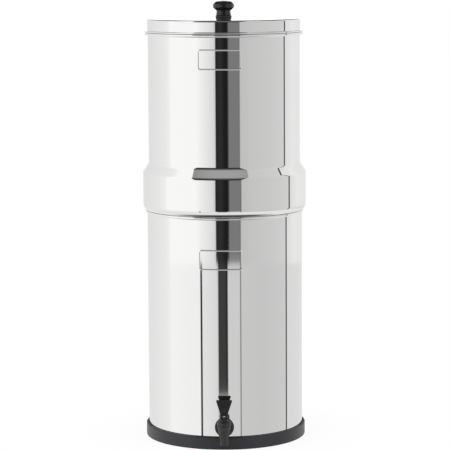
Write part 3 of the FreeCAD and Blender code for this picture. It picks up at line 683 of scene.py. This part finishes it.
def combined(piece, other, operation):
    """Joins or cuts a piece by another closed surface, which is then removed."""
    step = piece.modifiers.new("join", "BOOLEAN")
    step.operation = operation
    step.object = other
    step.solver = "EXACT"
    bpy.context.view_layer.update()
    depsgraph = bpy.context.evaluated_depsgraph_get()
    mesh = bpy.data.meshes.new_from_object(piece.evaluated_get(depsgraph))
    piece.modifiers.clear()
    piece.data = mesh
    bpy.data.objects.remove(other)
    return piece


def crisp(piece, degrees=35):
    """Smooth shading that breaks at edges sharper than the angle."""
    piece.data.shade_smooth()
    piece.data.set_sharp_from_angle(angle=math.radians(degrees))
    return piece


tap_body = turned("tap_moulding", upright_path, round_angles(72), place=to_upright)
for path, place, operation in (
    (arm_path, to_arm, "UNION"),
    (chamber_path, to_upright, "DIFFERENCE"),
    (passage_path, to_arm, "DIFFERENCE"),
):
    combined(tap_body, turned("tool", path, round_angles(72), place=place), operation)
crisp(tap_body)
paint(tap_body, tap_plastic)
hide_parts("tap_body")
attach(tap_body, "base")
dress(["tap_outer_washer", "tap_inner_washer"], seal_rubber)
dress(["tap_lock_nut"], tap_plastic)


# Bonnet: a screwed black cap over the valve chamber, coned up to a small flat that the lever's cam
# works on, with a guide hole for the stem.

BONNET_BORE = 10.1 * MM
BONNET_RADIUS = 11.9 * MM
BONNET_NECK = 6.8 * MM
BONNET_TOP = 12.0 * MM
BONNET_ROOF = 8.4 * MM
GUIDE_RADIUS = 2.0 * MM
bonnet_path = outline([
    (BONNET_BORE, 2.0 * MM, 0),
    (BONNET_BORE, 0.2 * MM, 0.2 * MM),
    (BONNET_RADIUS, 0.2 * MM, 0.4 * MM),
    (BONNET_RADIUS, 5.8 * MM, 1.6 * MM),
    (BONNET_NECK, 10.2 * MM, 1.2 * MM),
    (BONNET_NECK, BONNET_TOP, 0.5 * MM),
    (GUIDE_RADIUS, BONNET_TOP, 0.3 * MM),
    (GUIDE_RADIUS, BONNET_ROOF, 0.2 * MM),
    (4.6 * MM, BONNET_ROOF, 0.4 * MM),
    (BONNET_BORE, 5.2 * MM, 0.3 * MM),
    (BONNET_BORE, 2.0 * MM, 0),
])
bonnet = turned(
    "bonnet_cap",
    (bonnet_path[0][:-1], bonnet_path[1][:-1]),
    round_angles(96),
    place=to_upright @ Matrix.Translation((0, 0, BOWL_LIP)),
)
paint(bonnet, tap_plastic)
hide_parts("tap_bonnet")
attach(bonnet, "base")


# Lever: a black moulding, forked over the stem's eye and turning on a steel pin, that widens to a flat
# thumb piece. Its edges are broken by a small round.


def softened(node, name, width):
    """A copy of a CAD piece, its points merged and its flats cleared, with rounded edges."""
    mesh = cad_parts[node].data.copy()
    mesh.name = name
    mesh.materials.clear()
    piece = bpy.data.objects.new(name, mesh)
    bpy.context.collection.objects.link(piece)
    weld = piece.modifiers.new("weld", "WELD")
    weld.merge_threshold = 0.002 * MM
    flat = piece.modifiers.new("flat", "DECIMATE")
    flat.decimate_type = "DISSOLVE"
    flat.angle_limit = math.radians(1)
    edge = piece.modifiers.new("edge", "BEVEL")
    edge.width = width
    edge.segments = 3
    edge.limit_method = "ANGLE"
    edge.angle_limit = math.radians(32)
    edge.use_clamp_overlap = True
    bpy.context.view_layer.update()
    depsgraph = bpy.context.evaluated_depsgraph_get()
    made = bpy.data.meshes.new_from_object(piece.evaluated_get(depsgraph))
    piece.modifiers.clear()
    piece.data = made
    return crisp(piece, 40)


lever = softened("tap_lever", "lever_arm", 0.7 * MM)
paint(lever, tap_plastic)
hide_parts("tap_lever")
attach(lever, "lever")


# Seat cup: a small translucent silicone cup on the stem's foot, which shuts the spout.


def silicone(sheet):
    """Milky silicone."""
    cloud = grain(sheet, 50.0, 2.0)
    tone = sheet.node("ShaderNodeValToRGB", {"stops": [
        (0.3, (0.66, 0.64, 0.60)), (0.7, (0.74, 0.72, 0.68))
    ]}, {"Fac": cloud})
    return {"Base Color": tone, "Roughness": 0.35 + cloud * 0.1}


dress(["seat_cup"], finish("cup_silicone", silicone))


# Studio: a white floor and background, soft lamps from above, and light and dark cards round the set.
# Polished steel shows only what stands round it, so the cards are given by their compass angle, and a
# dark hood over the front by its height.


def shade(level):
    """The linear value of a display grey from 0 to 255."""
    value = level / 255
    return value / 12.92 if value <= 0.04045 else ((value + 0.055) / 1.055) ** 2.4


CAMERA_TURN = 1.0


def steel_grey(level):
    """The colour of a card that the steel shows as this display grey."""
    return (shade(level) / STEEL[0],) * 3


def cards(stops):
    """Ramp stops from (compass angle in degrees from the camera, display grey seen in the steel)."""
    return [((angle + CAMERA_TURN + 180) / 360, steel_grey(grey)) for angle, grey in stops]


def heights(stops):
    """Ramp stops from (sine of the angle above or below the level, display grey seen in the steel)."""
    return [(height, steel_grey(grey)) for height, grey in stops]


UPPER_CARDS = cards([
    (-180, 214), (-156, 216), (-100, 232), (-92, 238), (-87, 247), (-42, 246), (-37, 240), (-17, 218),
    (-13.6, 205), (-12.6, 33), (-9, 42), (-5, 45), (0, 30), (5.6, 28), (6.8, 119), (21.6, 119),
    (21.9, 50), (22.8, 50), (23.2, 190), (45, 196), (70, 200), (102.2, 207), (102.6, 50), (105, 50),
    (105.4, 220), (125, 230), (180, 214),
])
LEFT_CARDS = [
    (-180, 214), (-156, 218), (-100, 232), (-92, 236), (-87, 242), (-42, 238), (-36.6, 238),
    (-36.3, 12), (-34.1, 12), (-33.8, 226), (-11, 214),
]
RIGHT_CARDS = [
    (4.6, 203), (22.3, 203), (22.6, 100), (23.2, 100), (23.5, 198), (60, 196), (102.2, 202),
    (102.6, 50), (105, 50), (105.4, 214), (140, 216), (180, 214),
]
LOWER_CARDS = cards(LEFT_CARDS + [(-9.8, 45), (-8, 60), (0, 58), (3.4, 30)] + RIGHT_CARDS)
FLOOR_CARDS = cards(LEFT_CARDS + [(-9.8, 165), (3.4, 165)] + RIGHT_CARDS)

# The hood's slanting sides are given by their slopes (front, rise). A pair of heights, each the sine
# of the angle above the level, says where one part of the surround starts and where it is full.

HOOD = heights([
    (0, 20), (0.09, 34), (0.26, 45), (0.5, 75), (0.7, 115), (0.84, 157), (0.87, 157), (0.91, 30), (1, 25),
])
HOOD_LEFT = (0.825, 0.383)
HOOD_RIGHT = (0.395, 0.348)
SOFT_EDGE = 0.01
HOOD_FOOT = (0.04, 0.07)
FLOOR_TO_LOWER = (-0.2042, -0.2022)
LOWER_TO_UPPER = (-0.1435, -0.1415)
BACKDROP = heights([(0, 255), (0.17, 255), (0.19, 48), (1, 48)])
BACKDROP_SLANT = 0.9
BACKDROP_SIDE = (0.08, 0.04)
BACKDROP_FRONT = (-0.1, -0.2)
BACKDROP_FOOT = (0.0, 0.02)
GROUND = heights([(0.3, 226), (0.75, 226), (0.92, 60), (1, 20)])
GROUND_EDGE = (-0.3, -0.36)

world = bpy.data.worlds.new("studio")
bpy.context.scene.world = world
world.use_nodes = True
air = Sheet(world.node_tree)
direction = air.node("ShaderNodeTexCoord", output=0)
across, back, rise = (
    air.node("ShaderNodeSeparateXYZ", None, {"Vector": direction}, output=i) for i in range(3)
)
front = back * -1.0
compass = across.operate("ARCTAN2", front) / (2 * math.pi) + 0.5
levels = [
    air.node("ShaderNodeValToRGB", {"stops": stops}, {"Fac": compass})
    for stops in (FLOOR_CARDS, LOWER_CARDS, UPPER_CARDS)
]


def blend(first, second, share):
    """A colour that goes from the first to the second as the share goes from 0 to 1."""
    return air.node("ShaderNodeMix", {"data_type": "RGBA"}, {
        0: share, 6: first, 7: second
    }, output=2)


def between(value, first, second):
    """0 up to one value and 1 past the other, with a straight ramp from the first to the second."""
    return air.node("ShaderNodeMapRange", None, {
        "Value": value, "From Min": first, "From Max": second
    })


# From below, the floor's cards give way to the lower pot's and these to the upper pot's. The hood is
# bounded by two slanting planes. Behind the lid stands a white sheet under a dark one.

lower_share = between(rise, *FLOOR_TO_LOWER)
upper_share = between(rise, *LOWER_TO_UPPER)
level_cards = blend(blend(levels[0], levels[1], lower_share), levels[2], upper_share)
hood_share = (
    between(across + HOOD_LEFT[0] * front + HOOD_LEFT[1] * rise, -SOFT_EDGE, SOFT_EDGE)
    * between(HOOD_RIGHT[0] * front + HOOD_RIGHT[1] * rise - across, -SOFT_EDGE, SOFT_EDGE)
    * between(rise, *HOOD_FOOT)
)
hood = air.node("ShaderNodeValToRGB", {"stops": HOOD}, {"Fac": rise})
backdrop = air.node("ShaderNodeValToRGB", {"stops": BACKDROP}, {"Fac": rise})
to_side = across.operate("ABSOLUTE") - BACKDROP_SLANT * rise
behind = (
    between(to_side, *BACKDROP_SIDE)
    * between(front, *BACKDROP_FRONT)
    * between(rise, *BACKDROP_FOOT)
)
ground = air.node("ShaderNodeValToRGB", {"stops": GROUND}, {"Fac": rise * -1.0})
below = between(rise, *GROUND_EDGE)
surround = blend(blend(blend(level_cards, hood, hood_share), backdrop, behind), ground, below)
is_camera, is_glossy, is_through = (
    air.node("ShaderNodeLightPath", output=name)
    for name in ("Is Camera Ray", "Is Glossy Ray", "Is Transmission Ray")
)
seen = air.node("ShaderNodeBackground", None, {"Color": surround, "Strength": 1.0})
plain = air.node("ShaderNodeBackground", None, {"Color": (1, 1, 1, 1), "Strength": 0.55})
white = air.node("ShaderNodeBackground", None, {"Color": (1, 1, 1, 1), "Strength": 1.0})
lit = air.node("ShaderNodeMixShader", None, {0: is_glossy, 1: plain, 2: seen})
shown = air.node("ShaderNodeMixShader", None, {
    0: is_camera.operate("MAXIMUM", is_through), 1: lit, 2: white
})
air.node("ShaderNodeOutputWorld", None, {"Surface": shown})


SHADE_REACH = 0.3
SHADE_GLOW = 0.93


def floor_white(sheet):
    """The share of glow in the floor that the camera sees: all, but for a faint shade by the ring."""
    place = sheet.node("ShaderNodeTexCoord", output=3)
    away = sheet.node("ShaderNodeVectorMath", {"operation": "LENGTH"}, {0: place}, output=1)
    return sheet.node("ShaderNodeMapRange", None, {
        "Value": away, "From Min": RING_RADIUS, "From Max": SHADE_REACH,
        "To Min": SHADE_GLOW, "To Max": 1.0,
    })


floor_material = bpy.data.materials.new("floor_white")
floor_material.use_nodes = True
boards = Sheet(floor_material.node_tree)
floor_rays = boards.node("ShaderNodeLightPath")
paper = boards.node("ShaderNodeBsdfDiffuse", None, {"Color": (0.86, 0.86, 0.86, 1)})
glowing = boards.node("ShaderNodeEmission", None, {"Color": (1, 1, 1, 1), "Strength": 1.0})
seen_floor = boards.node("ShaderNodeMixShader", None, {
    0: floor_rays * floor_white(boards), 1: paper, 2: glowing
})
boards.node("ShaderNodeOutputMaterial", None, {"Surface": seen_floor})
FLOOR_HALF = 12.0
FLOOR_LEVEL = -0.05 * MM
floor = surface("floor", [
    (i * FLOOR_HALF, j * FLOOR_HALF, FLOOR_LEVEL) for i, j in ((-1, -1), (1, -1), (1, 1), (-1, 1))
], [(0, 1, 2, 3)])
floor.data.materials.append(floor_material)
floor.visible_glossy = False


def lamp(name, place, aim, size, power):
    """A square soft lamp, not seen in the steel, whose light falls on the aim."""
    light = bpy.data.lights.new(name, "AREA")
    light.shape = "SQUARE"
    light.size = size
    light.energy = power
    holder = bpy.data.objects.new(name, light)
    bpy.context.collection.objects.link(holder)
    holder.rotation_euler = (Vector(aim) - Vector(place)).to_track_quat("-Z", "Y").to_euler()
    holder.location = place
    holder.visible_glossy = False


middle = (0, 0, 0.4)
lamp("key", (-1.6, -1.8, 2.4), middle, 1.4, 26)
lamp("fill", (1.9, -1.4, 1.8), middle, 1.4, 14)
lamp("top", (0, 0.2, 2.6), middle, 1.6, 18)

# The camera stands a little to the right of the tap and looks slightly down.

CAMERA_PLACE = (0.0005, -3.7, 0.835)
CAMERA_DOWN = 7.156
CAMERA_ROLL = -0.32
camera = bpy.data.objects.new("camera", bpy.data.cameras.new("camera"))
bpy.context.collection.objects.link(camera)
camera.data.lens = 170.0
camera.data.sensor_width = 36.0
camera.matrix_world = (
    Matrix.Rotation(math.radians(CAMERA_TURN), 4, "Z")
    @ Matrix.Translation(CAMERA_PLACE)
    @ Matrix.Rotation(math.radians(90 - CAMERA_DOWN), 4, "X")
    @ Matrix.Rotation(math.radians(CAMERA_ROLL), 4, "Z")
)
bpy.context.scene.camera = camera
bpy.context.scene.view_settings.view_transform = "Standard"
